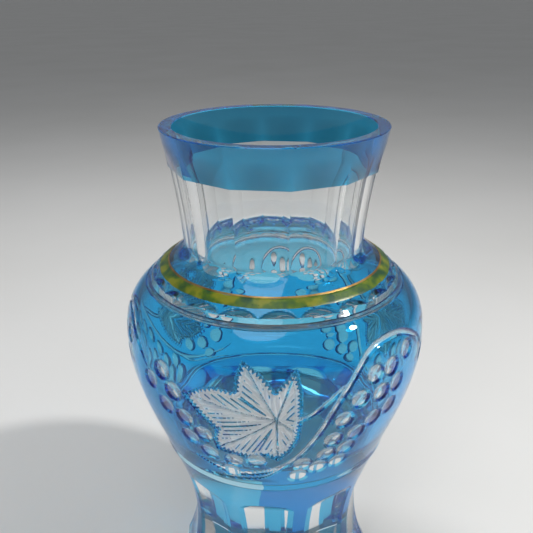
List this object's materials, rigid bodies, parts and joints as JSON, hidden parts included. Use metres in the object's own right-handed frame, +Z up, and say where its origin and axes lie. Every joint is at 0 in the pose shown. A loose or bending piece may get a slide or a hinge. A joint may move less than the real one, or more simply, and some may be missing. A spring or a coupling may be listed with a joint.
{
  "type": "cut crystal vase",
  "caption": "Baluster vase of clear crystal under a blue skin, cut to clear with flat panels, vine leaves, grapes and stems, with a gilt-green shoulder band.",
  "frame": {"origin": "centre of the flat underside of the foot", "axes": "+Z up along the vase's axis, -Y towards the side whose leaf faces the viewer"},
  "size_m": [0.168, 0.1679, 0.28],
  "materials": {
    "clear_crystal": "polished",
    "blue_casing": "polished",
    "pale_casing": "polished",
    "green_gilt": "satin",
    "gold_line": "satin"
  },
  "bodies": {
    "root": {"crystal_body": "clear_crystal", "rim_casing": "blue_casing", "shoulder_casing": "blue_casing", "belly_casing": "blue_casing", "foot_casing": "blue_casing", "waist_ring": "pale_casing", "gilt_band": "green_gilt", "gilt_line": "gold_line"}
  },
  "joints": []
}
